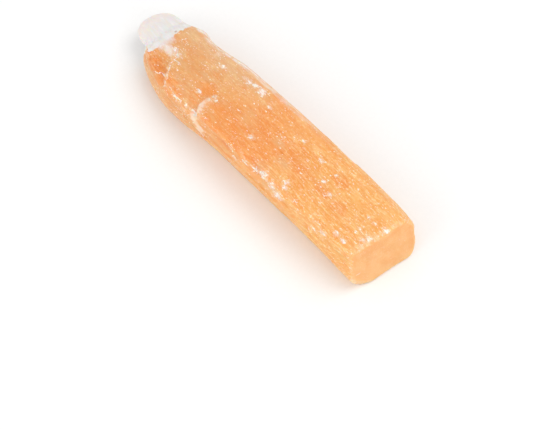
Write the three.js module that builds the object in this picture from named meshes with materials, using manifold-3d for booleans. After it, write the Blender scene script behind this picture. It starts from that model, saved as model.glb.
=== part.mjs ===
// Selenite crystal blade: one rough, fibrous satin-spar stick of orange selenite, as split from the vein.
// Millimetres. +X runs along the fibres from the pale natural tip to the sawn end, +Y is across the blade,
// +Z is up. The blade lies on its flat cleavage face at Z = 0, and the origin is the middle of that base.
// The crystal is one piece: a bar with a pale tongue at the tip, from which the saw cut, the cleaved strip
// and the chips are taken away.
import * as THREE from "three";
import { mergeVertices } from "three/addons/utils/BufferGeometryUtils.js";
import Module from "manifold-3d";

// Driving dimensions
const TOP_Z = 15.5; // height of the top face over most of the length
const SAWN_TOP_X = 50.5; // where the saw cut meets the top face
const SAW_LEAN = 0.3; // how far the cut runs out along X for each millimetre down
const SAW_SKEW = 0.07; // and for each millimetre towards +Y
const BASE_TRIM = 0.4; // how much is planed off the underside to leave the cleavage face
const FLUTE_DEPTH = 0.12; // relief of the broad flutes that run with the fibres
const RING_POINTS = 72; // points round each cross-section
const BAR_STEP = 2.4; // distance between cross-sections of the bar
const TONGUE_STEP = 1.6; // distance between cross-sections of the tongue
const LINE_POINTS = 400; // points that a smooth outline is worked out at
const MERGE_WITHIN = 1e-4; // vertices closer than this are one
const BIG = 200; // larger than the blade, for the cutting blocks

// Outlines along the length, each a smooth line through [x, value]
const BAR = {
  left: [[-49.4, -7.4], [-47.2, -10], [-38.5, -13.1], [-31, -14.7], [-20, -14.5], [-13, -13.6], [-4, -13.1],
    [12, -12.6], [30, -12], [44, -11.5], [58, -11.2]],
  right: [[-49.4, 8.4], [-44.4, 9.4], [-43, 10.6], [-41.6, 11.7], [-39.6, 11.7], [-37.6, 10.4], [-35, 10.2],
    [-28, 11.4], [-21, 12.3], [-7, 13], [10, 13.6], [30, 14.2], [42, 14.1], [50, 13.7], [58, 13]],
  top: [[-49.4, 11.2], [-44, 12.2], [-34, 13.6], [-22, 14.9], [-8, TOP_Z], [20, TOP_Z], [40, 15.3], [58, 15]],
  base: [[-49.4, 2.6], [-44, 0.8], [-38, -0.3], [-20, -BASE_TRIM], [58, -BASE_TRIM]],
};
const TONGUE = {
  left: [[-58.2, -1.8], [-57.4, -3.8], [-55.4, -5.4], [-51, -6], [-40, -6.6]],
  right: [[-58.2, 3.6], [-57.4, 5.9], [-55.4, 8], [-51, 9.2], [-40, 9.3]],
  top: [[-58.2, 7.2], [-57.2, 8.8], [-54.5, 9.7], [-50, 10.4], [-40, 10.8]],
  base: [[-58.2, 5.2], [-57.2, 4], [-54.5, 3], [-50, 2.2], [-40, 1.4]],
};

// The bar's flanks: how far the left top edge stands in from the fullest line, how far down the left flank
// that line runs, as a share of the height, and how far the base's right edge stands in, as a share of the
// width
const FLANK = {
  standIn: [[-50, 2.6], [-30, 2.6], [-10, 0.9], [25, 0.7], [50, 1.8], [58, 1.8]],
  fullest: [[-50, 0.6], [-25, 0.58], [0, 0.4], [25, 0.42], [45, 0.62], [58, 0.62]],
  rightFoot: [[-50, 0.2], [25, 0.2], [48, 0.1], [58, 0.1]],
};

// Sets of flutes: how many go round the bar, how deep each set is as a share of FLUTE_DEPTH, and how it
// sways round the bar, in radians, on a wave of so many millimetres along X
const FLUTES = [
  { count: 9, share: 1, sway: 0.9, wave: 23, start: 0 },
  { count: 14, share: 0.7, sway: 1.3, wave: 31, start: 2 },
  { count: 5, share: 0.5, sway: 2.5, wave: 48, start: 1 },
];

// Flakes knocked off the edges and flanks. Each is [x, around, length, width, depth], where around is the
// share of the way round the cross-section from the top left edge, going down the left flank
const EDGE_CHIPS = [
  [8, 0, 9, 2.6, 2],
  [22, 0.01, 12, 2.4, 1.6],
  [37, 0, 8, 2.2, 1.4],
  [-3, 0.05, 7, 2.2, 1.8],
  [-27, 0.1, 10, 2.6, 1.8],
  [-9, 0.69, 11, 3, 1.4],
  [-28, 0.69, 9, 3, 1.8],
  [18, 0.7, 8, 2.4, 1.2],
  [33, 0.61, 16, 2.6, 1.6],
  [2, 0.58, 20, 3, 1.8],
  [-22, 0.2, 13, 3, 2.2],
  [26, 0.19, 10, 2.4, 2],
  [-33, 0.47, 12, 3.4, 2.4],
  [40, 0.48, 9, 3, 2.2],
];

// A smooth open line through points, as [a, b] pairs
function smoothLine(points, divisions) {
  return new THREE.SplineCurve(points.map(([a, b]) => new THREE.Vector2(a, b)))
    .getPoints(divisions)
    .map((p) => [p.x, p.y]);
}

// A function of x that follows a smooth line through the points
function outline(points) {
  const line = smoothLine(points, LINE_POINTS);
  return (x) => {
    const after = line.findIndex((p) => p[0] >= x);
    if (after <= 0) return after === 0 ? line[0][1] : line.at(-1)[1];
    const [before, next] = [line[after - 1], line[after]];
    return THREE.MathUtils.mapLinear(x, before[0], next[0], before[1], next[1]);
  };
}

const barLines = [
  BAR.left, BAR.right, BAR.top, BAR.base, FLANK.standIn, FLANK.fullest, FLANK.rightFoot,
].map(outline);
const tongueLines = [TONGUE.left, TONGUE.right, TONGUE.top, TONGUE.base].map(outline);

// A closed polygon with rounded corners. Each corner is [y, z, radius]
function roundedPolygon(corners) {
  const shape = new THREE.Shape();
  corners.forEach(([y, z, radius], i) => {
    const here = new THREE.Vector2(y, z);
    const before = new THREE.Vector2(...corners.at(i - 1).slice(0, 2));
    const after = new THREE.Vector2(...corners[(i + 1) % corners.length].slice(0, 2));
    const reach = (end) => Math.min(radius / here.distanceTo(end), 0.45);
    const start = here.clone().lerp(before, reach(before));
    const stop = here.clone().lerp(after, reach(after));
    if (i === 0) shape.moveTo(start.x, start.y);
    else shape.lineTo(start.x, start.y);
    shape.quadraticCurveTo(y, z, stop.x, stop.y);
  });
  shape.closePath();
  return shape;
}

// The bar's cross-section: a flat top and base, a bevelled right shoulder, and a left flank that leans out
// near the tip and hangs over the base in the middle
function barSection(x) {
  const [left, right, top, base, standIn, fullest, rightFoot] = barLines.map((line) => line(x));
  const high = top - base;
  const width = right - left;
  return roundedPolygon([
    [left + standIn, top, 1.6],
    [left, top - fullest * high, 3],
    [left + 0.1 * width, base, 3],
    [right - rightFoot * width, base, 3],
    [right - 0.25 * rightFoot * width, base + 0.3 * high, 3],
    [right, top - 0.24 * high, 1.6],
    [right - 0.12 * width, top, 2.4],
  ]);
}

// The tongue's cross-section: a flattened oval
function tongueSection(x) {
  const [left, right, top, base] = tongueLines.map((line) => line(x));
  const high = top - base;
  const width = right - left;
  const round = 0.4 * high;
  return roundedPolygon([
    [left, top - 0.25 * high, round],
    [left + 0.1 * high, base + 0.2 * high, round],
    [left + 0.5 * width, base, 4],
    [right - 0.1 * high, base + 0.25 * high, round],
    [right, top - 0.3 * high, round],
    [right - 0.2 * width, top, 2],
    [left + 0.2 * width, top, 2],
  ]);
}

// How far the flutes stand out at x, at an angle around the bar
function fluteRelief(x, around) {
  const waves = FLUTES.map(({ count, share, sway, wave, start }) => (
    share * Math.sin(count * around + sway * Math.sin(x / wave + start))
  ));
  return FLUTE_DEPTH * waves.reduce((sum, height) => sum + height, 0);
}

// One ring of points round a cross-section, moved out from its middle by the relief
function ringPoints(section, x, relief) {
  const ring = section(x).getSpacedPoints(RING_POINTS).slice(0, RING_POINTS);
  const middle = ring.reduce((sum, p) => sum.add(p), new THREE.Vector2()).divideScalar(RING_POINTS);
  return ring.map((p, k) => {
    const out = p.clone().sub(middle).normalize();
    return p.clone().addScaledVector(out, relief(x, (2 * Math.PI * k) / RING_POINTS));
  });
}

// A closed skin over the cross-sections between two places along X
function loft(section, from, to, step, relief) {
  const count = Math.round((to - from) / step);
  const positions = [];
  const faces = [];
  for (let i = 0; i <= count; i++) {
    const x = THREE.MathUtils.lerp(from, to, i / count);
    const ring = ringPoints(section, x, relief);
    ring.forEach((p) => positions.push(x, p.x, p.y));
    if (i === 0 || i === count) {
      THREE.ShapeUtils.triangulateShape(ring, []).forEach((face) => {
        const [a, b, c] = face.map((k) => i * RING_POINTS + k);
        faces.push(...(i === 0 ? [a, c, b] : [a, b, c]));
      });
    }
  }
  for (let i = 0; i < count; i++) {
    for (let k = 0; k < RING_POINTS; k++) {
      const a = i * RING_POINTS + k;
      const b = i * RING_POINTS + ((k + 1) % RING_POINTS);
      faces.push(a, b, a + RING_POINTS, b, b + RING_POINTS, a + RING_POINTS);
    }
  }
  const geometry = new THREE.BufferGeometry();
  geometry.setAttribute("position", new THREE.Float32BufferAttribute(positions, 3));
  geometry.setIndex(faces);
  return geometry;
}

// The bar and the tongue, before anything is cut away
function wholeBar() {
  return loft(barSection, BAR.left[0][0], BAR.left.at(-1)[0], BAR_STEP, fluteRelief);
}

function wholeTongue() {
  return loft(tongueSection, TONGUE.left[0][0], TONGUE.left.at(-1)[0], TONGUE_STEP, () => 0);
}

// A block that cuts off everything past a plane through a point, on the side that the plane faces
function cutPast(point, facing) {
  const turn = new THREE.Quaternion().setFromUnitVectors(new THREE.Vector3(1, 0, 0), facing.normalize());
  return new THREE.BoxGeometry(BIG, BIG, BIG)
    .translate(BIG / 2, 0, 0)
    .applyQuaternion(turn)
    .translate(...point);
}

// The slanted face that the saw left
function sawCut() {
  return cutPast([SAWN_TOP_X, 0, TOP_Z], new THREE.Vector3(1, -SAW_SKEW, SAW_LEAN));
}

// The lower left corner of the sawn end, worn back by handling
function wornCorner() {
  return cutPast([53.4, -9.4, 3.2], new THREE.Vector3(1, -0.55, -0.35));
}

// The flat cleavage face that the blade lies on
function basePlane() {
  return cutPast([0, 0, 0], new THREE.Vector3(0, 0, -1));
}

// A block that stands on a plan outline and reaches up without end. Its underside becomes the cleaved
// surface: it passes through a point, and dips across the blade and along it by angles in radians
function cleaver(plan, [x, y, z], dipAcross, dipAlong) {
  const shape = new THREE.Shape(plan.map(([px, py]) => new THREE.Vector2(px - x, py - y)));
  return new THREE.ExtrudeGeometry(shape, { depth: BIG, bevelEnabled: false })
    .rotateX(dipAcross)
    .rotateY(dipAlong)
    .translate(x, y, z);
}

// The strip cleaved off the left shoulder. It stops at the round front of the layer that is left standing
function cleavedStrip() {
  const front = smoothLine([[-14.6, -20], [-15.4, -14.2], [-17.2, -11.6], [-18.4, -8.8], [-18.2, -5.6],
    [-16.4, -2.4], [-15, 2]], 24);
  return cleaver([...front, [-70, 2], [-70, -20]], [-20, -2, 15], 0.24, 0.02);
}

// The lower scoop beside the tip, whose edge is the jagged crack across the shoulder
function tipScoop() {
  const crack = [[-47, 1], [-42.5, -0.6], [-40, -2.2], [-38.6, -4.6], [-37.2, -6], [-36.4, -8], [-34.6, -9.6],
    [-33.2, -12], [-31.6, -13.4], [-30, -20]];
  return cleaver([...crack, [-70, -20], [-70, 1]], [-40, -5, 12], 0.2, -0.07);
}

// The ragged edge where the orange crust has broken away above the tongue
function crustEdge() {
  const ragged = [[-46.2, 14], [-46.6, 8.6], [-47.4, 6.8], [-46.9, 5], [-47.8, 3.4], [-47, 1.4],
    [-47.6, -0.4], [-46.6, -1.8], [-47.4, -3.6], [-46.9, -5.2], [-47.8, -6.4]];
  return cleaver([...ragged, [-70, -6.4], [-70, 14]], [-47, 0, 9.7], 0, -0.05);
}

// One flake's bed: a long, low faceted lens half sunk in the surface, flat against it
function edgeChip([x, around, length, width, depth]) {
  const section = barSection(x);
  const here = section.getPointAt(around);
  const along = section.getTangentAt(around);
  return new THREE.IcosahedronGeometry(1, 1)
    .scale(length / 2, width / 2, depth / 2)
    .rotateX(Math.atan2(along.y, along.x))
    .translate(x, here.x, here.y);
}

const wasm = await Module();
wasm.setup();

// A closed geometry as a manifold-3d solid
function solid(geometry) {
  const bare = geometry.clone();
  bare.deleteAttribute("normal");
  bare.deleteAttribute("uv");
  const merged = mergeVertices(bare, MERGE_WITHIN);
  return new wasm.Manifold(new wasm.Mesh({
    numProp: 3,
    vertProperties: merged.attributes.position.array,
    triVerts: new Uint32Array(merged.index.array),
  }));
}

// A manifold-3d solid as a geometry
function geometryOf(made) {
  const mesh = made.getMesh();
  const geometry = new THREE.BufferGeometry();
  geometry.setAttribute("position", new THREE.BufferAttribute(mesh.vertProperties, 3));
  geometry.setIndex(new THREE.BufferAttribute(mesh.triVerts, 1));
  geometry.computeVertexNormals();
  return geometry;
}

// The whole crystal, with the middle of its base at the origin
function crystalBlade() {
  const cuts = [sawCut(), wornCorner(), basePlane(), cleavedStrip(), tipScoop(), crustEdge()];
  cuts.push(...EDGE_CHIPS.map(edgeChip));
  const broken = cuts.reduce((left, cut) => left.subtract(solid(cut)), solid(wholeBar()));
  const geometry = geometryOf(broken.add(solid(wholeTongue())));
  geometry.computeBoundingBox();
  const middle = geometry.boundingBox.getCenter(new THREE.Vector3());
  return geometry.translate(-middle.x, -middle.y, 0);
}

const selenite = new THREE.MeshStandardMaterial({ color: 0xf4a764, roughness: 0.5, metalness: 0 });
const blade = new THREE.Mesh(crystalBlade(), selenite);
blade.name = "crystal_blade";

const group = new THREE.Group();
group.add(blade);
export default group;
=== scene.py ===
"""A rough stick of orange selenite, lying on a pale studio floor.

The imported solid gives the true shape. A fine skin, with its grid along the fibres, is drawn over it. Three
kinds of node trees finish it: one lets the fibres, splinters and nicks into the skin, one scatters the white
chips that handling has left on it, and the shader trees give the colour and lustre. Lengths in the named
values are in millimetres unless a comment says otherwise. Blender's are in metres.
"""
import math

import bmesh
import bpy
import numpy as np
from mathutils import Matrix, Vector
from mathutils.bvhtree import BVHTree


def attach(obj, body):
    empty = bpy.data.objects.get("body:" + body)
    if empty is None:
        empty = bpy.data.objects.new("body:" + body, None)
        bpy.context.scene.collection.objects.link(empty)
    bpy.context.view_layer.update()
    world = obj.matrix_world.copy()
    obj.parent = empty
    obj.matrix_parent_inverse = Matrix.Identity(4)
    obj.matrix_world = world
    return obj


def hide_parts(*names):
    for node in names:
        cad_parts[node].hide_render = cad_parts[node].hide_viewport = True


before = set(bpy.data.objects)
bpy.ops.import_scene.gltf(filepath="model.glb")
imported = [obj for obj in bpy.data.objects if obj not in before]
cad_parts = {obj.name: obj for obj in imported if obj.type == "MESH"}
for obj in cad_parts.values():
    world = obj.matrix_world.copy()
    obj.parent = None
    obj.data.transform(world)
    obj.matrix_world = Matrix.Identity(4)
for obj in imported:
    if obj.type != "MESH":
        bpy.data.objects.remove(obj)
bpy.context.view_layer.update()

MM = 0.001  # one millimetre in metres
NODE = "crystal_blade"

# The skin's grid
RINGS = 214  # steps between cross-sections, from the tip to the start of the sawn end's rounded rim
RIM_RINGS = 6  # cross-sections round that rim
ACROSS = 104  # columns over the top, and as many under the base
DOWN = 66  # columns down each flank
CORE = (2.0, 6.2)  # Y and Z of a line that lies inside the crystal from end to end
END_GAP = 0.03  # how far inside the two end faces the skin's ends lie
RIM_ROUND = 1.1  # radius of the sawn end's worn rim
EASE = 0.3  # how strongly columns and rings crowd towards edges and ends
WELD = 0.001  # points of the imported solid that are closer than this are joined
SAWN_FACING = 0.9  # the saw cut's faces point at least this far along X
CORE_PASSES = 12  # passes that even out the line of the cross-sections' middles
FACET_PASSES = 24  # passes that round off the solid's facets along the fibres
FACET_KEEP = 0.06  # a step deeper than about this stays crisp
END_PASSES = 1500  # passes that even out the grids over the two ends

# Cracks and white veins over the top of the tip, each a line of [x, y]
CRACKS = [
    [[-35.6, -4.4], [-35.2, -6], [-34.6, -7], [-33.4, -8.5], [-32.7, -9.6], [-31.5, -10.4], [-31.4, -11.6],
     [-30.8, -12.6]],
    [[-37.6, -11], [-36.2, -10.6], [-35.4, -9.6], [-34, -9.7], [-32.4, -9.8]],
    [[-38.2, -0.8], [-37.4, -2], [-35.8, -2.6], [-35.6, -4.4], [-33.6, -4], [-33, -4.8]],
    [[-40.6, 1.8], [-40.1, 3], [-39.4, 4.1]],
    [[-28.6, -11.6], [-25.4, -12.4], [-22.6, -12.1]],
]
CRACKED_ABOVE = 7.0  # they run over the top, not through to the base
FAR = 99.0  # the distance given to points that no crack reaches

# Places along X: where the tongue's smooth surface gives way to the rough crust, and where straw sets in
CRUST_STARTS = (-45.4, -44.2)
TOWARDS_CUT = (-5.0, 38.0)

# The bright rim of the step where a slab has split away from the top, as [x, y, z]
LEDGE = [[-12.6, -13.2, 8.8], [-15, -13.5, 10.6], [-16, -12.6, 12.6], [-15.8, -11.4, 14.6], [-16.2, -9.4, 15]]

# Spots, each [x, y, z, radius]. White, where the fibres are crushed
CRUSHED = [
    [-39, -1.6, 12.8, 0.9], [-36.4, -2.4, 13, 1.2], [-28, 7, 14, 1], [-23, 4.6, 15, 0.9],
    [-21, -6.5, 14, 0.8], [-25, -12.5, 12.5, 0.9], [-20, -12, 12.8, 0.7], [-17.6, -11.6, 12.8, 0.7],
    [-21, 10, 14, 0.8], [-15, 7, 15, 0.7], [-13, 7, 15, 1], [-11, 7.6, 15.4, 1], [-8, 7.6, 15.5, 1.6],
    [-2, 5.6, 15.5, 0.8], [-16.6, -6.5, 15.2, 0.7], [-16.2, -4, 15.4, 0.8], [-14.6, -5, 15.4, 0.6],
    [-15.8, -12, 13, 1.2], [2.5, -5.5, 15.5, 0.9], [0.6, -12.4, 13.6, 1.2], [3, -12.6, 11.5, 0.9],
    [7.4, -12, 14, 1.1], [11.6, -11.6, 15, 1.1], [14.6, -11, 15.4, 1.5],
    [18.6, -11.2, 14.4, 1.4], [21.6, -11.4, 13, 1.8], [22, -9, 15.5, 0.9], [21, -7.4, 15.5, 0.9],
    [13.6, 5.6, 15.5, 0.7], [22, 5, 15.5, 0.9], [27.6, 1, 15.5, 0.7], [28.6, 5, 15.5, 0.6],
    [32, -0.6, 15.5, 0.7], [36.6, -11, 12.5, 0.9], [40, -10.5, 14, 1.2], [43, -7.6, 15.4, 0.9],
    [46, -7.6, 15, 0.8], [45, 3, 15.3, 0.6], [46, -1.4, 15.3, 0.6], [47.6, 3, 15.2, 0.6],
    [50, -1.6, 15, 0.9], [49.4, -3.2, 15, 0.8], [50.2, -5, 14.8, 0.6], [51.2, 4, 14.8, 0.9],
    [-38, 10.2, 11.4, 0.9], [-36.4, 10.6, 10.8, 0.8], [-30, 11, 6, 1.2], [4, 13.4, 9, 1.3], [29, 14, 7, 1.1],
    [41, 12.6, 3, 1.3], [-12, 11, 3, 1.1],
]
# Soft and pale, where the stone is cloudy beneath
VEILED = [
    [-40, -3.4, 12, 2], [-36, 5, 13, 4], [-16, -5, 15.3, 1.6], [-24, 5, 14.8, 3], [-12, 8, 15, 3.5],
    [9.5, -0.5, 15.5, 2.2], [15, -4, 15.5, 2.4], [11.5, -10, 14.5, 3], [18, -11, 13, 3.5],
    [50, -1.5, 15, 2.6], [50, -6, 14, 3], [-41, 10.8, 10.5, 2.4], [-38, 10.4, 10.6, 2],
    [-34, 8.5, 12.5, 3], [-30, 9, 13, 4], [-27, 11, 12.5, 2.5], [-20, 9.5, 14, 3],
]
# Amber, in broad clouds. The first, at the foot of the step below the ledge, is painted shade that deepens
# the step's own shading there
AMBER_CLOUDS_AND_STEP_SHADE = [
    [-18.6, -9, 13.6, 3], [-18.4, -4.6, 14, 3], [-28, -11, 12.5, 3.5], [-34, -11, 11, 3],
    [-9, -5, 15.5, 5], [-2, -8, 15.5, 6], [2, -3, 15.5, 5], [8, -8, 15.5, 4], [13, -1, 15.5, 5],
    [20, -1.5, 15.5, 3.5], [30, -1.5, 15.5, 2.5], [31, 5, 15.5, 2.5], [37, -2, 15.5, 2.5], [-5, 13, 8, 6],
]
# Deepest orange, under the crust beside the long crack
DEEP = [[-39.4, -9, 11, 2.8], [-36.4, -9, 11.4, 2.2], [-44.6, -7.5, 11, 1]]
# Frosted grey, along the right shoulder and in the crust behind the tip
HAZY = [
    [-39.6, 9, 12, 0.9], [-38.4, 9.8, 11.6, 1.2], [-36.8, 10.4, 11, 1.2], [-39.6, -3, 12.4, 1.8],
    [-26, 9, 14, 1.1], [-22.4, 9.6, 14.2, 1.3], [-19.4, 10.4, 14, 1.2], [-15, 11, 14, 1.2],
]
# The skin's attribute for each set of spots, and how many times as long as wide they are
SPOTS = [
    ("crushed", CRUSHED, 1.3),
    ("veiled", VEILED, 1.6),
    ("amber", AMBER_CLOUDS_AND_STEP_SHADE, 1.6),
    ("deep", DEEP, 1.4),
    ("hazy", HAZY, 1.6),
]
# Small single marks, as (x, y, z)
# The slit is not cut into the skin: its deep amber mark is painted shade inside it
SLIT_SHADE = (12.5, -2, 15.5)
BROWN_SPECK = (-44.2, 3, 12)
SCRATCH = (54.2, -8.2, 6.8)


# ---------------------------------------------------------------------------------------------------------
# Node trees


class Field:
    """A node's output in an expression. Each operator adds the Math or Vector Math node it stands for."""

    def __init__(self, graph, socket):
        self.graph = graph
        self.socket = socket

    @staticmethod
    def is_vector(term):
        """Whether a term is a vector or a colour."""
        return isinstance(term, tuple) or isinstance(term, Field) and term.socket.type in {"VECTOR", "RGBA"}

    def combine(self, operation, first, second):
        """Adds the node for one operation on two terms."""
        if self.is_vector(first) or self.is_vector(second):
            return self.graph.vector_math(operation, first, second)
        return self.graph.math(operation, first, second)

    def __add__(self, other):
        return self.combine("ADD", self, other)

    def __radd__(self, other):
        return self.combine("ADD", other, self)

    def __sub__(self, other):
        return self.combine("SUBTRACT", self, other)

    def __rsub__(self, other):
        return self.combine("SUBTRACT", other, self)

    def __mul__(self, other):
        return self.combine("MULTIPLY", self, other)

    def __rmul__(self, other):
        return self.combine("MULTIPLY", other, self)

    def __truediv__(self, other):
        return self.combine("DIVIDE", self, other)

    def __rtruediv__(self, other):
        return self.combine("DIVIDE", other, self)

    def __pow__(self, other):
        return self.combine("POWER", self, other)


class Graph:
    """Adds nodes to one shader or geometry tree."""

    def __init__(self, tree):
        self.tree = tree

    def node(self, kind, settings=None, sockets=None, output=0):
        """One node: its settings first, then its sockets' values or links. Gives an output, if it has any."""
        made = self.tree.nodes.new(kind)
        for name, value in (settings or {}).items():
            setattr(made, name, value)
        shown = [s for s in made.inputs if s.enabled]
        for name, value in (sockets or {}).items():
            socket = shown[name] if isinstance(name, int) else next(s for s in shown if s.name == name)
            if isinstance(value, Field):
                self.tree.links.new(value.socket, socket)
            else:
                socket.default_value = value
        given = [s for s in made.outputs if s.enabled]
        if isinstance(output, str):
            return Field(self, next(s for s in given if s.name == output))
        return Field(self, given[output]) if given else None

    def math(self, operation, *terms):
        return self.node("ShaderNodeMath", {"operation": operation}, dict(enumerate(terms)))

    def vector_math(self, operation, *terms, output=0):
        terms = [(t, t, t) if isinstance(t, (int, float)) else t for t in terms]
        return self.node("ShaderNodeVectorMath", {"operation": operation}, dict(enumerate(terms)), output)

    def highest(self, first, second):
        return self.math("MAXIMUM", first, second)

    def size(self, value):
        return self.math("ABSOLUTE", value)

    def dot(self, first, second):
        return self.vector_math("DOT_PRODUCT", first, second, output="Value")

    def distance(self, first, second):
        return self.vector_math("DISTANCE", first, second, output="Value")

    def xyz(self, vector):
        return [self.node("ShaderNodeSeparateXYZ", None, {0: vector}, axis) for axis in "XYZ"]

    def ramp(self, value, low, high):
        """0 below low, 1 above high, and smooth in between. Low may be the larger."""
        return self.node("ShaderNodeMapRange", {"interpolation_type": "SMOOTHSTEP", "clamp": True},
                         {"Value": value, "From Min": low, "From Max": high, "To Min": 0.0, "To Max": 1.0})

    def noise(self, vector, detail=2.0, roughness=0.5, output=0):
        """Noise with features about one unit across."""
        return self.node("ShaderNodeTexNoise", None,
                         {"Vector": vector, "Scale": 1.0, "Detail": detail, "Roughness": roughness}, output)

    def cells(self, vector):
        """Voronoi cells about one unit across, each with a colour of its own."""
        return self.node("ShaderNodeTexVoronoi", None, {"Vector": vector, "Scale": 1.0}, "Color")

    def mix(self, share, first, second):
        """The first colour, with a share of the second."""
        return self.node("ShaderNodeMix", {"data_type": "RGBA", "clamp_factor": True},
                         {"Factor": share, "A": first, "B": second})

    def layers(self, body, layers):
        """Colours laid one over another, each where a grain rises from a low value to a high one."""
        for grain, low, high, share, shade in layers:
            body = self.mix(self.ramp(grain, low, high) * share, body, shade)
        return body

    def along_fibres(self, mm):
        """Places in millimetres, swayed a little across the blade so that patterns run like fibres."""
        sway = self.noise(mm * (0.035, 0.02, 0.02), 1.0, output="Color")
        return mm + (sway - (0.5, 0.5, 0.5)) * (0.0, 3.0, 3.0)


def geometry_tree(name, values):
    """A geometry tree with a Geometry and a Material input, and an input for each named value."""
    tree = bpy.data.node_groups.new(name, "GeometryNodeTree")
    tree.interface.new_socket(name="Geometry", in_out="INPUT", socket_type="NodeSocketGeometry")
    for label, value in values.items():
        kind = "NodeSocketInt" if isinstance(value, int) else "NodeSocketFloat"
        tree.interface.new_socket(name=label, in_out="INPUT", socket_type=kind).default_value = value
    tree.interface.new_socket(name="Material", in_out="INPUT", socket_type="NodeSocketMaterial")
    tree.interface.new_socket(name="Geometry", in_out="OUTPUT", socket_type="NodeSocketGeometry")
    graph = Graph(tree)
    given = graph.node("NodeGroupInput").socket.node.outputs
    return graph, {s.name: Field(graph, s) for s in given if s.name}


def close_tree(graph, geometry, material):
    """Ends a geometry tree: Realize Instances, then Set Material, then its output."""
    real = graph.node("GeometryNodeRealizeInstances", None, {"Geometry": geometry})
    finished = graph.node("GeometryNodeSetMaterial", None, {"Geometry": real, "Material": material})
    graph.node("NodeGroupOutput", None, {"Geometry": finished})
    return graph.tree


def bake_tree(piece, tree, values):
    """Runs a geometry tree on a piece and keeps the result as its plain mesh."""
    modifier = piece.modifiers.new(tree.name, "NODES")
    modifier.node_group = tree
    for socket in tree.interface.items_tree:
        if socket.in_out == "INPUT" and socket.name in values:
            modifier[socket.identifier] = values[socket.name]
    depsgraph = bpy.context.evaluated_depsgraph_get()
    mesh = bpy.data.meshes.new_from_object(
        piece.evaluated_get(depsgraph), preserve_all_data_layers=True, depsgraph=depsgraph)
    piece.modifiers.clear()
    piece.data = mesh
    mesh.name = piece.name
    return piece


def named(graph, name):
    """A point attribute, read in a geometry tree."""
    return graph.node("GeometryNodeInputNamedAttribute", {"data_type": "FLOAT"}, {"Name": name})


def store(graph, geometry, name, value):
    """Keeps a value on a geometry tree's points."""
    return graph.node("GeometryNodeStoreNamedAttribute", {"data_type": "FLOAT", "domain": "POINT"},
                      {"Geometry": geometry, "Name": name, "Value": value})


def blurred(graph, value, passes):
    """A value evened out over a mesh."""
    kind = "FLOAT_VECTOR" if Field.is_vector(value) else "FLOAT"
    return graph.node("GeometryNodeBlurAttribute", {"data_type": kind},
                      {"Value": value, "Iterations": passes})


def chance(graph, low, high, seed):
    """A random number between two numbers, or a random vector between two vectors."""
    kind = "FLOAT_VECTOR" if Field.is_vector(low) else "FLOAT"
    return graph.node("FunctionNodeRandomValue", {"data_type": kind},
                      {"Min": low, "Max": high, "Seed": seed})


# ---------------------------------------------------------------------------------------------------------
# The skin: a grid along the fibres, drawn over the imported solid


class Solid:
    """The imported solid, ready for rays, with the plane of its saw cut. In millimetres."""

    def __init__(self, node):
        mesh = bmesh.new()
        mesh.from_mesh(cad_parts[node].data)
        bmesh.ops.remove_doubles(mesh, verts=mesh.verts, dist=WELD * MM)
        bmesh.ops.scale(mesh, verts=mesh.verts, vec=(1 / MM,) * 3)
        mesh.normal_update()
        self.tree = BVHTree.FromBMesh(mesh)
        sawn = [f for f in mesh.faces if f.normal.x > SAWN_FACING]
        area = sum(f.calc_area() for f in sawn)
        self.saw_normal = sum((f.normal * f.calc_area() for f in sawn), Vector()).normalized()
        middle = sum((f.calc_center_median() * f.calc_area() for f in sawn), Vector()) / area
        self.saw_level = self.saw_normal.dot(middle)
        self.tip_x = min(v.co.x for v in mesh.verts)
        # Past this the cut takes part of each cross-section
        self.whole_to_x = min(v.co.x for f in sawn for v in f.verts)
        mesh.free()

    def hit(self, origin, direction):
        """Where a ray first meets the solid."""
        return self.tree.ray_cast(Vector(origin), Vector(direction))[0]

    def sawn_x(self, y, z):
        """Where the saw plane is, along X."""
        n = self.saw_normal
        return (self.saw_level - n.y * y - n.z * z) / n.x

    def ring(self, middle, half_y, half_z, lean):
        """Points all round the solid, seen from a middle point. Lean 1 tilts the ring like the saw cut."""
        n = self.saw_normal
        points = []
        for u, w in ring_directions():
            out_y, out_z = u * half_y, w * half_z
            out_x = -lean * (n.y * out_y + n.z * out_z) / n.x
            points.append(self.hit(middle, (out_x, out_y, out_z)))
        return np.array(points)


def eased(count):
    """Places from -1 to 1, a little closer together at both ends."""
    even = np.linspace(-1, 1, count + 1)
    return (1 - EASE) * even + EASE * np.sin(even * math.pi / 2)


def smooth_along(values, passes):
    """Evens out values along their first axis, with the ends held."""
    values = values.copy()
    for _ in range(passes):
        values[1:-1] = (values[:-2] + 2 * values[1:-1] + values[2:]) / 4
    return values


def core_line(solid, stations):
    """The middle of the solid and its half sizes at each place along X, as rows [y, z, half y, half z]."""
    rows = []
    y, z = CORE
    for x in stations:
        left = solid.hit((x, y, z), (0, -1, 0)).y
        right = solid.hit((x, y, z), (0, 1, 0)).y
        low = solid.hit((x, y, z), (0, 0, -1)).z
        high = solid.hit((x, y, z), (0, 0, 1)).z
        rows.append([(left + right) / 2, (low + high) / 2, (right - left) / 2, (high - low) / 2])
    return smooth_along(np.array(rows), CORE_PASSES)


def ring_directions():
    """The unit box's outline: over the top from left to right, down, back under the base, and up."""
    across, down = eased(ACROSS)[:-1], eased(DOWN)[:-1]
    top = [(u, 1.0) for u in across]
    right = [(1.0, -w) for w in down]
    base = [(-u, -1.0) for u in across]
    left = [(-1.0, w) for w in down]
    return top + right + base + left


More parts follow.
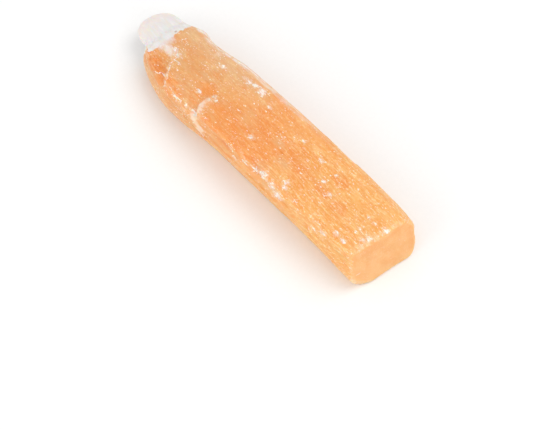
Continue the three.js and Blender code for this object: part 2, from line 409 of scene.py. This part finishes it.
def body_rings(solid):
    """Rings from the tip to the start of the sawn rim, and the core they are seen from."""
    share = (eased(RINGS) + 1) / 2
    first = solid.tip_x + END_GAP
    upright = first + (solid.sawn_x(*CORE) - RIM_ROUND - first) * share
    core = core_line(solid, np.minimum(upright, solid.whole_to_x - RIM_ROUND))
    last = np.array([solid.sawn_x(y, z) for y, z, _, _ in core]) - END_GAP - RIM_ROUND
    stations = first + (last - first) * share
    lean = np.clip(2 * share - 1, 0, 1) ** 2  # none up to half way, then more and more
    rings = [solid.ring((x, y, z), half_y, half_z, leaning)
             for x, (y, z, half_y, half_z), leaning in zip(stations, core, lean)]
    return np.array(rings), core


def rim_rings(solid, section):
    """Rings that round the skin over into the sawn face."""
    y, z, half_y, half_z = section
    rings = []
    for turn in np.linspace(0, math.pi / 2, RIM_RINGS + 1)[1:]:
        middle = np.array([solid.sawn_x(y, z) - END_GAP - RIM_ROUND * (1 - math.sin(turn)), y, z])
        ring = solid.ring(middle, half_y, half_z, 1.0)
        inwards = middle - ring
        inwards /= np.linalg.norm(inwards, axis=1, keepdims=True)
        rings.append(ring + inwards * RIM_ROUND * (1 - math.cos(turn)))
    return np.array(rings)


def ease_facets(points):
    """Rounds off the solid's facets along the fibres, but not its steps."""
    for _ in range(FACET_PASSES):
        shift = np.zeros_like(points)
        shift[1:-1] = (points[:-2] + points[2:]) / 4 - points[1:-1] / 2
        size = np.linalg.norm(shift, axis=2, keepdims=True)
        points = points + shift * np.exp(-((size / FACET_KEEP) ** 2))
    return points


def end_grid(ring):
    """A grid of points that fills one end ring, from its four sides inwards, then evened out."""
    corners = [0, ACROSS, ACROSS + DOWN, 2 * ACROSS + DOWN]
    top = ring[corners[0]:corners[1] + 1]
    right = ring[corners[1]:corners[2] + 1]
    base = ring[corners[2]:corners[3] + 1][::-1]
    left = np.vstack([ring[corners[3]:], ring[:1]])[::-1]
    u = ((eased(ACROSS) + 1) / 2)[:, None, None]
    w = ((eased(DOWN) + 1) / 2)[None, :, None]
    sides = (1 - w) * top[:, None] + w * base[:, None] + (1 - u) * left[None] + u * right[None]
    corner = (1 - u) * (1 - w) * top[0] + u * (1 - w) * top[-1] + (1 - u) * w * base[0] + u * w * base[-1]
    grid = sides - corner
    for _ in range(END_PASSES):
        grid[1:-1, 1:-1] = (grid[:-2, 1:-1] + grid[2:, 1:-1] + grid[1:-1, :-2] + grid[1:-1, 2:]) / 4
    return grid


def grid_quads(index):
    """The four-sided faces between the rows and columns of a table of vertex numbers."""
    return np.stack([index[:-1, :-1], index[1:, :-1], index[1:, 1:], index[:-1, 1:]], axis=-1).reshape(-1, 4)


def end_index(ring_start, inner_start):
    """Vertex numbers of an end grid: its border is the ring's, its inside is new."""
    around = 2 * (ACROSS + DOWN)
    index = np.zeros((ACROSS + 1, DOWN + 1), int)
    ring = ring_start + np.arange(around)
    index[:, 0] = ring[:ACROSS + 1]
    index[-1, :] = ring[ACROSS:ACROSS + DOWN + 1]
    index[:, -1] = ring[ACROSS + DOWN:2 * ACROSS + DOWN + 1][::-1]
    index[0, 1:] = ring[2 * ACROSS + DOWN:][::-1]
    inside = (ACROSS - 1) * (DOWN - 1)
    index[1:-1, 1:-1] = (inner_start + np.arange(inside)).reshape(ACROSS - 1, DOWN - 1)
    return index


def blade_skin():
    """The blade's fine skin as an object, with its sawn face and its marks as point attributes."""
    solid = Solid(NODE)
    body, core = body_rings(solid)
    rings = np.concatenate([ease_facets(body), rim_rings(solid, core[-1])])
    count, around = rings.shape[:2]
    tip, cut = end_grid(rings[0])[1:-1, 1:-1], end_grid(rings[-1])[1:-1, 1:-1]
    side = np.arange(count * around).reshape(count, around)
    wrapped = np.hstack([side, side[:, :1]])
    tip_index = end_index(0, side.size)
    cut_index = end_index(side.size - around, side.size + tip[..., 0].size)
    points = np.vstack([rings.reshape(-1, 3), tip.reshape(-1, 3), cut.reshape(-1, 3)])
    quads = np.vstack([grid_quads(wrapped), grid_quads(tip_index), grid_quads(cut_index)[:, ::-1]])

    mesh = bpy.data.meshes.new("selenite_blade")
    mesh.from_pydata((points * MM).tolist(), [], quads.tolist())

    sawn = np.zeros(len(points))
    sawn[side[-RIM_RINGS:]] = (np.arange(RIM_RINGS) / RIM_RINGS)[:, None]
    sawn[np.unique(cut_index)] = 1.0
    add_attribute(mesh, "sawn", sawn)
    for name, places, stretch in SPOTS:
        add_attribute(mesh, name, spots(points, places, stretch))
    from_crack = from_lines(points[:, :2], CRACKS)
    add_attribute(mesh, "from_crack", np.where(points[:, 2] > CRACKED_ABOVE, from_crack, FAR))
    add_attribute(mesh, "from_ledge", from_lines(points, [LEDGE]))
    return add_object("selenite_blade", mesh)


def add_attribute(mesh, name, values):
    """Keeps a number for each point of a mesh."""
    attribute = mesh.attributes.new(name, "FLOAT", "POINT")
    attribute.data.foreach_set("value", values.astype(np.float32))


def add_object(name, data):
    """Puts a mesh, a camera or a light in the scene, at the origin."""
    made = bpy.data.objects.new(name, data)
    bpy.context.scene.collection.objects.link(made)
    return made


def from_lines(points, lines):
    """How far each point is from the nearest of some jointed lines."""
    nearest = np.full(len(points), np.inf)
    for line in lines:
        for start, end in zip(np.array(line[:-1]), np.array(line[1:])):
            along = end - start
            share = np.clip((points - start) @ along / (along @ along), 0, 1)
            nearest = np.minimum(nearest, np.linalg.norm(points - start - share[:, None] * along, axis=1))
    return nearest


def spots(points, places, stretch):
    """How far each point is inside one of the spots, from 0 to 1. The spots are stretched along X."""
    share = np.zeros(len(points))
    for x, y, z, radius in places:
        away = np.linalg.norm((points - (x, y, z)) / (stretch, 1, 1), axis=1)
        share = np.maximum(share, np.exp(-((away / radius) ** 2)))
    return share


# ---------------------------------------------------------------------------------------------------------
# Geometry trees


def fibre_relief():
    """Evens out the skin, then lets fibres, splinters, cracks and nicks into it.

    Only the highest fibres swell outwards, and the evening fills the sharpest inner corners a little.
    """
    graph, given = geometry_tree("fibre_relief", {
        "Swell": 0.1,
        "Band Depth": 0.24,
        "Fibre Depth": 0.14,
        "Splinter Depth": 0.32,
        "Nick Depth": 0.4,
        "Crack Depth": 0.3,
        "Crush Depth": 0.25,
        "Saw Depth": 0.06,
        "Facing Passes": 8,
        "Rim Passes": 24,
        "Even Passes": 6,
    })
    place = graph.node("GeometryNodeInputPosition")
    facing = graph.node("GeometryNodeInputNormal")
    inwards = graph.vector_math("NORMALIZE", blurred(graph, facing, given["Facing Passes"])) * -MM
    proud = graph.dot(place - blurred(graph, place, given["Rim Passes"]), facing) / MM
    rim = graph.ramp(proud, 0.04, 0.34)
    sideways = blurred(graph, graph.xyz(facing)[1], given["Even Passes"])
    sawn, crushed, from_crack = [named(graph, name) for name in ("sawn", "crushed", "from_crack")]

    mm = place / MM
    fibre = graph.along_fibres(mm)
    side = graph.ramp(graph.size(sideways), 0.3, 0.85)
    crust = graph.ramp(graph.xyz(mm)[0], *CRUST_STARTS)

    bands = graph.noise(fibre * (0.012, 0.5, 0.5), 2.0)
    fine = graph.noise(fibre * (0.1, 1.8, 1.8), 2.0, 0.55)
    long_cells = graph.xyz(graph.cells(fibre * (0.045, 0.42, 0.5)))[0]
    short_cells = graph.xyz(graph.cells(fibre * (0.13, 1.0, 1.0)))[1]
    splinters = graph.ramp(long_cells, 0.45, 1.0) * (0.25 + 0.75 * side)
    splinters = splinters + graph.ramp(short_cells, 0.6, 1.0) * 0.4
    nicks = rim * graph.ramp(graph.noise(mm * (0.4, 0.8, 0.8), 2.0), 0.5, 0.72)
    grown = ((1.0 - bands) * given["Band Depth"] + (1.0 - fine) * given["Fibre Depth"]
             + splinters * given["Splinter Depth"] - given["Swell"]) * (0.35 + 0.65 * crust)
    broken = (nicks * given["Nick Depth"] + graph.ramp(from_crack, 0.5, 0.1) * given["Crack Depth"]
              + crushed * graph.noise(mm * (0.9, 1.8, 1.8), 2.0) * given["Crush Depth"]) * crust
    saw_marks = graph.noise(mm * (0.2, 0.35, 1.4), 2.0) * given["Saw Depth"]
    depth = (grown + broken) * (1.0 - sawn) + saw_marks * sawn

    kept = store(graph, store(graph, given["Geometry"], "rim", rim), "sideways", sideways)
    even_place = place + (blurred(graph, place, given["Even Passes"]) - place) * (1.0 - sawn)
    evened = graph.node("GeometryNodeSetPosition", None, {"Geometry": kept, "Position": even_place})
    carved = graph.node("GeometryNodeSetPosition", None, {"Geometry": evened, "Offset": inwards * depth})
    smooth = graph.node("GeometryNodeSetShadeSmooth", None, {"Geometry": carved, "Shade Smooth": True})
    return close_tree(graph, smooth, given["Material"])


def scatter_chips():
    """Scatters small jagged closed chips over a surface, lying mostly along the fibres."""
    graph, given = geometry_tree("scatter_chips", {
        "Spread": 40000.0,
        "Crushed": 400000.0,
        "Length": 0.8,
        "Width": 0.4,
        "Thickness": 0.2,
        "Turn": 0.4,
        "Jaggedness": 0.3,
        "Seed": 0,
    })
    rim, sawn, crushed = [named(graph, name) for name in ("rim", "sawn", "crushed")]
    mm = graph.node("GeometryNodeInputPosition") / MM
    x, _, z = graph.xyz(mm)
    patch = graph.ramp(graph.noise(mm * (0.1, 0.25, 0.25), 2.0), 0.4, 0.7)
    where = graph.ramp(x, -46.0, -44.5) * graph.ramp(z, 0.8, 2.0) * (1.0 - graph.ramp(sawn, 0.0, 0.2))
    spread = given["Spread"] * (0.2 + patch + 1.5 * rim * patch)
    density = (spread + given["Crushed"] * crushed ** 2.0) * where
    scattered = graph.node("GeometryNodeDistributePointsOnFaces", {"distribute_method": "RANDOM"},
                           {"Mesh": given["Geometry"], "Density": density, "Seed": given["Seed"]})
    facing = Field(graph, scattered.socket.node.outputs["Normal"])
    upright = graph.node("FunctionNodeAlignRotationToVector", {"axis": "Z", "pivot_axis": "AUTO"},
                         {"Vector": facing})
    lengthwise = graph.node("FunctionNodeAlignRotationToVector", {"axis": "X", "pivot_axis": "Z"},
                            {"Rotation": upright, "Vector": (1.0, 0.0, 0.0)})
    turn = chance(graph, (-0.3, -0.3, -1.0), (0.3, 0.3, 1.0), given["Seed"]) * given["Turn"]
    turn = graph.node("FunctionNodeEulerToRotation", None, {"Euler": turn})
    turned = graph.node("FunctionNodeRotateRotation", {"rotation_space": "LOCAL"},
                        {"Rotation": lengthwise, "Rotate By": turn})
    stretch = chance(graph, 0.5, 1.5, 8)
    sized = store(graph, scattered, "chip_size", 0.3 + 0.9 * chance(graph, 0.0, 1.0, 7) ** 2.0)
    size = named(graph, "chip_size")
    scale = graph.node("ShaderNodeCombineXYZ", None,
                       {"X": given["Length"] * size * stretch * MM, "Y": given["Width"] * size * MM,
                        "Z": given["Thickness"] * size * MM})
    chip = graph.node("GeometryNodeMeshIcoSphere", None, {"Radius": 0.5, "Subdivisions": 1})
    placed = graph.node("GeometryNodeInstanceOnPoints", None,
                        {"Points": sized, "Instance": chip, "Rotation": turned, "Scale": scale})
    real = graph.node("GeometryNodeRealizeInstances", None, {"Geometry": placed})
    knock = chance(graph, (-1.0, -1.0, -0.6), (1.0, 1.0, 0.6), 9)
    knock = knock * (given["Jaggedness"] * given["Width"] * size * MM)
    jagged = graph.node("GeometryNodeSetPosition", None, {"Geometry": real, "Offset": knock})
    flat = graph.node("GeometryNodeSetShadeSmooth", None, {"Geometry": jagged, "Shade Smooth": False})
    return close_tree(graph, flat, given["Material"])


# ---------------------------------------------------------------------------------------------------------
# Finishes


def colour(red, green, blue):
    """A colour as the eye reads it, 0 to 255, in the linear values that shaders use."""
    shares = (c / 255 for c in (red, green, blue))
    return (*(s / 12.92 if s <= 0.04045 else ((s + 0.055) / 1.055) ** 2.4 for s in shares), 1.0)


HONEY = colour(238, 168, 96)
AMBER = colour(236, 144, 60)
DEEP_AMBER = colour(227, 134, 44)
BURNT = colour(208, 108, 36)
RUST = colour(168, 96, 50)
STRAW = colour(240, 176, 88)
TAN = colour(218, 158, 98)
PALE_STRAW = colour(250, 216, 156)
CREAM = colour(255, 232, 186)
PEACH = colour(226, 178, 130)
GREY_FROST = colour(238, 218, 203)
COOL_FROST = colour(238, 224, 216)
RIM_WHITE = colour(250, 224, 204)
FROST = colour(247, 218, 190)
POWDER = colour(255, 246, 238)
MILK = colour(228, 223, 217)
WARM_MILK = colour(238, 227, 221)
COOL_MILK = colour(230, 231, 235)
SAWN_PEACH = colour(239, 172, 105)
PALE_PEACH = colour(244, 187, 125)
PAPER_WHITES = (colour(246, 246, 246), colour(250, 250, 250))
GYPSUM_IOR = 1.52


def new_material(name):
    """An empty material and its graph."""
    material = bpy.data.materials.new(name)
    material.use_nodes = True
    material.node_tree.nodes.clear()
    return material, Graph(material.node_tree)


def bump(graph, strength, depth, height):
    """Fine relief on a shader's Normal, to a depth in millimetres."""
    return graph.node("ShaderNodeBump", None,
                      {"Strength": strength, "Distance": depth * MM, "Height": height})


def object_mm(graph):
    """A shader tree's places on the object, in millimetres."""
    return graph.node("ShaderNodeTexCoord", None, None, "Object") / MM


def finish_material(material, graph, settings, sockets):
    """Ends a material in a Principled shader."""
    shader = graph.node("ShaderNodeBsdfPrincipled", settings, sockets)
    graph.node("ShaderNodeOutputMaterial", None, {"Surface": shader})
    return material


class Stone:
    """The places, masks and grains that the selenite's colour is worked out from, in one shader tree."""

    def __init__(self, graph):
        self.graph = graph
        self.mm = object_mm(graph)
        self.x, self.y, self.z = graph.xyz(self.mm)
        self.fibre = graph.along_fibres(self.mm)
        self.towards_cut = graph.ramp(self.x, *TOWARDS_CUT)
        # amber: the stone's amber clouds, and the painted shade at the foot of the step
        self.amber = graph.ramp(self.mask("amber") + 0.3 * self.patches(5.0, 2.0, 17.0), 0.3, 1.0)
        self.deep = graph.ramp(self.mask("deep") + 0.6 * self.patches(2.4, 1.0, 3.0), 0.45, 1.1)
        self.silk = graph.noise(self.fibre * (0.13, 2.2, 2.2), 3.0, 0.65)
        self.dashes = graph.noise(self.fibre * (0.34, 2.2, 2.2), 3.0, 0.6)
        self.grit = graph.noise(self.mm * (1.3, 2.2, 2.2) + (31.0, 7.0, 11.0), 2.0, 0.7)
        self.grains = graph.noise(self.fibre * (0.8, 2.1, 2.1) + (4.0, 15.0, 8.0), 1.0)

    def mask(self, name):
        """A point attribute of the skin."""
        return self.graph.node("ShaderNodeAttribute", {"attribute_name": name}, None, "Fac")

    def patches(self, size_x, size_yz, offset=0.0, detail=3.0):
        """Noise in patches of about that size."""
        return self.graph.noise(self.mm / (size_x, size_yz, size_yz) + (offset, offset, offset), detail, 0.6)

    def mark(self, place, half_sizes):
        """1 inside a small mark, 0 outside it."""
        away = self.graph.distance(self.mm / half_sizes, tuple(p / h for p, h in zip(place, half_sizes)))
        return self.graph.ramp(away, 1.1, 0.7)


def grown_colour(graph, stone):
    """The stone's own orange: amber clouds, honey, straw towards the cut, and the deep and cloudy spots. The
    amber also holds painted shade at the foot of the step.
    """
    flank = graph.ramp(graph.size(stone.mask("sideways")), 0.3, 0.75) * graph.ramp(stone.z, 10.5, 6.0)
    under = graph.highest(flank, graph.ramp(stone.z, 2.5, 1.0))
    bands = graph.noise(stone.fibre * (0.018, 0.5, 0.5) + (3.0, 1.0, 8.0), 3.0, 0.6)
    body = graph.mix(graph.ramp(stone.patches(18.0, 7.0), 0.36, 0.66), AMBER, HONEY)
    body = graph.layers(body, [
        (stone.x, 0.0, -24.0, 0.6, TAN),
        (stone.x, *TOWARDS_CUT, 0.65, STRAW),
        (bands, 0.44, 0.62, 0.06 + 0.5 * under, PALE_STRAW),
        (bands, 0.46, 0.3, 0.25 + 0.3 * under, AMBER),
    ])
    cloudy = graph.ramp(stone.patches(10.0, 4.5, 7.0), 0.44, 0.66) * graph.ramp(stone.x, 12.0, -26.0)
    rubbed = graph.ramp(stone.y, -1.0, 7.0) * graph.ramp(stone.x, 4.0, -22.0) * graph.ramp(stone.z, 8.0, 11.0)
    veil = graph.ramp(stone.mask("veiled") + 1.4 * (stone.patches(3.0, 1.2) - 0.5), 0.3, 1.3)
    cloudy = graph.highest(cloudy, veil) * 0.7
    # Amber clouds, with painted shade at the foot of the step below the ledge
    body = graph.mix(stone.amber * 0.85, body, AMBER)
    body = graph.mix(graph.highest(cloudy, rubbed * 0.9), body, PEACH)
    return graph.mix(stone.deep * 0.9, body, DEEP_AMBER)


def textured(graph, stone, body):
    """Mottles, silky lines, short dashes and sugary grains over the body colour, in livelier patches."""
    lively = graph.ramp(stone.patches(12.0, 5.0, 13.0), 0.36, 0.64) * (1.0 - 0.6 * stone.amber)
    pale = (0.05 + 0.16 * lively + 0.28 * stone.towards_cut) * (1.0 - 0.5 * stone.deep)
    mottle = stone.patches(5.0, 1.5, 15.0, 2.0)
    return graph.layers(body, [
        (mottle, 0.48, 0.7, 0.08 + 0.2 * lively, PALE_STRAW),
        (mottle, 0.52, 0.3, 0.3, AMBER),
        (stone.silk, 0.5, 0.68, pale + 0.05, PALE_STRAW),
        (stone.silk, 0.46, 0.3, 0.2, AMBER),
        (stone.dashes, 0.52, 0.7, pale + 0.12, PALE_STRAW),
        (stone.dashes, 0.46, 0.3, 0.22 + 0.16 * lively, AMBER),
        (stone.grit, 0.56, 0.7, 0.18 + 0.24 * lively, FROST),
        (stone.grains, 0.58, 0.68, pale + 0.05, CREAM),
        (stone.grit, 0.44, 0.3, 0.12, DEEP_AMBER),
        (stone.dashes, 0.5, 0.36, 0.5 * stone.deep, BURNT),
    ])


def frosted(graph, stone, body):
    """Pale, rubbed places: worn edges, the right shoulder, hazy spots, and the bright rim of the step."""
    rim = stone.mask("rim")
    broken = graph.ramp(stone.patches(3.2, 1.3, 5.0), 0.36, 0.64)
    body = graph.mix(rim * (0.05 + 0.6 * broken), body, FROST)
    high = stone.z + 3.5 * graph.ramp(stone.x, -34.0, -38.0)
    shoulder = graph.ramp(stone.mask("sideways"), 0.15, 0.5) * graph.ramp(high, 9.5, 12.5)
    body = graph.mix(shoulder * (0.15 + 0.75 * broken) * graph.ramp(stone.x, 24.0, -16.0), body, GREY_FROST)
    hazy = graph.ramp(stone.mask("hazy") + 1.2 * (stone.patches(1.8, 0.8, 9.0) - 0.5), 0.25, 0.9)
    body = graph.mix(hazy * 0.85, body, COOL_FROST)
    around = graph.ramp(stone.mask("crushed") + (stone.patches(1.6, 0.7, 23.0) - 0.5) * 1.2, 0.15, 0.75)
    body = graph.mix(around * 0.4, body, FROST)
    ledge = stone.mask("from_ledge") + (graph.noise(stone.fibre * (0.5, 1.2, 1.2), 3.0, 0.7) - 0.5) * 3.4
    return graph.mix(graph.ramp(ledge, 2.2, 0.4) * 0.8, body, RIM_WHITE)


def crushed_white(graph, stone, body):
    """White where the fibres are crushed, in the cracks, and in small flecks all over."""
    splintery = graph.noise(stone.fibre * (0.8, 1.5, 1.5) + (2.0, 9.0, 4.0), 3.0, 0.6)
    powder = graph.ramp(splintery + 0.32 * stone.mask("crushed"), 0.73, 0.78)
    ragged = stone.mask("from_crack") + (graph.noise(stone.mm * 1.3, 3.0, 0.7) - 0.5) * 0.9
    crack = graph.ramp(ragged, 0.26, 0.06)
    speck = graph.noise(stone.mm * (0.9, 2.0, 2.0) + (5.0, 17.0, 3.0), 3.0, 0.6)
    flecks = graph.ramp(speck + 0.2 * stone.patches(9.0, 4.0, 21.0), 0.75, 0.79)
    sparkle = graph.noise(stone.mm * (1.4, 2.3, 2.3) + (9.0, 2.0, 6.0), 1.0)
    sparkle = graph.ramp(sparkle + 0.3 * stone.patches(7.0, 3.0, 27.0), 0.845, 0.9) * 0.8
    scratch = stone.mark(SCRATCH, (3.0, 1.0, 0.12)) * 0.6
    spotted = graph.highest(flecks, sparkle) * (1.0 - 0.8 * stone.mask("sawn")) * (1.0 - 0.8 * stone.deep)
    white = graph.highest(graph.highest(powder, crack), graph.highest(spotted, scratch))
    return graph.mix(white * 0.92, body, POWDER)


def milky_tip(graph, stone, body):
    """The pale tongue, and the ragged edge where the orange crust ends."""
    streaks = graph.noise(stone.fibre * (0.06, 0.9, 0.9), 3.0, 0.6)
    milk = graph.layers(MILK, [
        (streaks, 0.35, 0.65, 0.6, COOL_MILK),
        (stone.x + 4.0 * streaks, -48.0, -54.0, 1.0, WARM_MILK),
        (streaks, 0.56, 0.7, 0.2, POWDER),
    ])
    haze = graph.ramp(stone.x + 3.0 * stone.patches(1.6, 0.8, 4.0), -38.2, -42.0)
    haze = haze * graph.ramp(graph.size(stone.y + 2.0), 3.8, 2.0)
    body = graph.mix(haze * 0.75, body, COOL_MILK)
    edge = stone.x + (graph.noise(stone.mm * (0.2, 0.36, 0.36), 4.0, 0.65) - 0.5) * 3.6
    left = stone.y + (graph.noise(stone.mm * 0.7, 3.0, 0.6) - 0.5) * 5.0
    tongue = graph.ramp(edge, -43.2, -43.8) * graph.ramp(left, -7.4, -7.0)
    return graph.mix(tongue, body, milk)


def sawn_face(graph, stone, body):
    """The smooth peach end, palest near its lower left."""
    face = graph.layers(SAWN_PEACH, [
        (stone.patches(6.0, 5.0, 2.0), 0.35, 0.65, 1.0, PALE_PEACH),
        (stone.grit, 0.5, 0.7, 0.2, FROST),
        (stone.y + stone.z, 8.0, -8.0, 0.6, PALE_PEACH),
        (stone.z, 9.0, 5.0, 0.7 * stone.mask("rim"), FROST),
    ])
    return graph.mix(graph.ramp(stone.mask("sawn"), 0.3, 1.0), body, face)


def selenite():
    """Orange selenite: honey to amber, silky with fibres, frosted on its rims and milky at the tip."""
    material, graph = new_material("orange_selenite")
    stone = Stone(graph)
    body = textured(graph, stone, grown_colour(graph, stone))
    # Painted shade of the slit, in deep amber
    body = graph.mix(stone.mark(SLIT_SHADE, (0.9, 0.3, 2.0)) * 0.8, body, DEEP_AMBER)
    body = sawn_face(graph, stone, frosted(graph, stone, body))
    body = milky_tip(graph, stone, crushed_white(graph, stone, body))
    body = graph.mix(stone.mark(BROWN_SPECK, (0.4, 0.5, 2.0)) * 0.5, body, RUST)

    rough_cut = stone.mask("sawn")
    grain = (stone.silk + 0.6 * stone.dashes + 0.4 * stone.grit) * (1.0 - 0.8 * rough_cut)
    return finish_material(material, graph, {"subsurface_method": "RANDOM_WALK"}, {
        "Base Color": body,
        "Roughness": 0.34 + 0.2 * stone.silk + 0.16 * stone.mask("rim") + 0.14 * rough_cut,
        "Normal": bump(graph, 0.4, 0.1, grain),
        "IOR": GYPSUM_IOR,
        "Subsurface Weight": 0.5,
        "Subsurface Radius": (1.0, 0.5, 0.22),
        "Subsurface Scale": 4.0 * MM,
    })


def crushed_selenite():
    """White crushed selenite: frosted chips, each a little different."""
    material, graph = new_material("white_crushed_selenite")
    mm = object_mm(graph)
    frost = graph.noise(mm * 6.0)
    body = graph.mix(graph.ramp(graph.noise(mm * 0.7), 0.35, 0.65), POWDER, FROST)
    return finish_material(material, graph, None, {
        "Base Color": body,
        "Roughness": 0.45 + 0.2 * frost,
        "Normal": bump(graph, 0.4, 0.05, frost),
        "IOR": GYPSUM_IOR,
        "Subsurface Weight": 0.3,
        "Subsurface Radius": (1.0, 0.8, 0.6),
        "Subsurface Scale": 0.6 * MM,
    })


def studio_paper():
    """The floor: plain white paper with a trace of tooth."""
    material, graph = new_material("studio_paper")
    mm = object_mm(graph)
    tooth = graph.noise(mm * 0.8)
    return finish_material(material, graph, None, {
        "Base Color": graph.mix(tooth, *PAPER_WHITES),
        "Roughness": 0.9,
        "Normal": bump(graph, 0.1, 0.05, tooth),
        "Specular IOR Level": 0.1,
    })


# ---------------------------------------------------------------------------------------------------------
# The studio

AZIMUTH = 50.0  # degrees that the camera stands round from the blade's left flank, towards the saw cut
ELEVATION = 60.0  # degrees that it looks down
AIM = (22.4, -16.2, 8.0)  # the point that it looks at
AWAY = 438.7  # how far it stands from there
LENS = 101.82  # focal length
SENSOR = 36.0  # width of the sensor
CLIP = (0.01, 20.0)  # metres that the view starts and ends at
FLOOR_HALF = 3.0  # metres from the floor's middle to its sides
SKY = 0.74  # strength of the even light from all round

# Soft boxes: name, azimuth, elevation, metres away, metres wide, watts and colour
SOFT_BOXES = [
    ("key", 150.0, 60.0, 0.9, 0.6, 2.4, (1.0, 0.99, 0.97)),
    ("left_fill", -10.0, 25.0, 1.0, 0.8, 2.5, (1.0, 0.98, 0.95)),
    ("end_fill", 80.0, 30.0, 1.0, 0.8, 1.5, (1.0, 1.0, 1.0)),
]


def direction(azimuth, elevation):
    """From the object to something that looks at it from an azimuth and an elevation, in degrees."""
    a, e = math.radians(azimuth), math.radians(elevation)
    return Vector((math.sin(a) * math.cos(e), -math.cos(a) * math.cos(e), math.sin(e)))


def set_camera():
    """Puts the camera at the viewing angle, with everything sharp."""
    data = bpy.data.cameras.new("camera")
    data.lens = LENS
    data.sensor_width = SENSOR
    data.clip_start, data.clip_end = CLIP
    camera = add_object("camera", data)
    towards = direction(AZIMUTH, ELEVATION)
    camera.location = (Vector(AIM) + towards * AWAY) * MM
    camera.rotation_euler = towards.to_track_quat("Z", "Y").to_euler()
    bpy.context.scene.camera = camera


def soft_light(name, azimuth, elevation, away, size, watts, shade):
    """A square soft box that faces the middle of the blade."""
    data = bpy.data.lights.new(name, "AREA")
    data.size = size
    data.energy = watts
    data.color = shade
    light = add_object(name, data)
    towards = direction(azimuth, elevation)
    light.location = towards * away
    light.rotation_euler = towards.to_track_quat("Z", "Y").to_euler()


def set_studio():
    """The paper floor, the soft boxes and the even light from all round."""
    floor = bpy.data.meshes.new("floor")
    corners = [(x * FLOOR_HALF, y * FLOOR_HALF, 0) for x, y in ((-1, -1), (1, -1), (1, 1), (-1, 1))]
    floor.from_pydata(corners, [], [(0, 1, 2, 3)])
    floor.materials.append(studio_paper())
    add_object("floor", floor)
    for box in SOFT_BOXES:
        soft_light(*box)
    world = bpy.data.worlds.new("studio")
    world.use_nodes = True
    background = world.node_tree.nodes["Background"]
    background.inputs["Color"].default_value = (1.0, 1.0, 1.0, 1.0)
    background.inputs["Strength"].default_value = SKY
    bpy.context.scene.world = world
    bpy.context.scene.view_settings.view_transform = "Standard"


# ---------------------------------------------------------------------------------------------------------
# The piece

# White chips: how many to a square metre over the worn surface and where it is crushed, and their sizes
CHIPS = {
    "white_flecks": {
        "Spread": 60000.0, "Crushed": 0.0,
        "Length": 0.6, "Width": 0.3, "Thickness": 0.16, "Turn": 0.6, "Seed": 3,
    },
    "crushed_fibres": {
        "Spread": 0.0, "Crushed": 12000000.0,
        "Length": 0.6, "Width": 0.22, "Thickness": 0.14, "Turn": 1.0, "Seed": 5,
    },
}


def blade():
    """The crystal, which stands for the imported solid."""
    skin = bake_tree(blade_skin(), fibre_relief(), {"Material": selenite()})
    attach(skin, "root")
    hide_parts(NODE)
    return skin


def chips(name, on, finish, sizes):
    """White chips scattered over the finished blade."""
    surface = add_object(name, on.data.copy())
    piece = bake_tree(surface, scatter_chips(), {**sizes, "Material": finish})
    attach(piece, "root")
    return piece


set_camera()
set_studio()
finished_blade = blade()
white = crushed_selenite()
for piece_name, piece_sizes in CHIPS.items():
    chips(piece_name, finished_blade, white, piece_sizes)
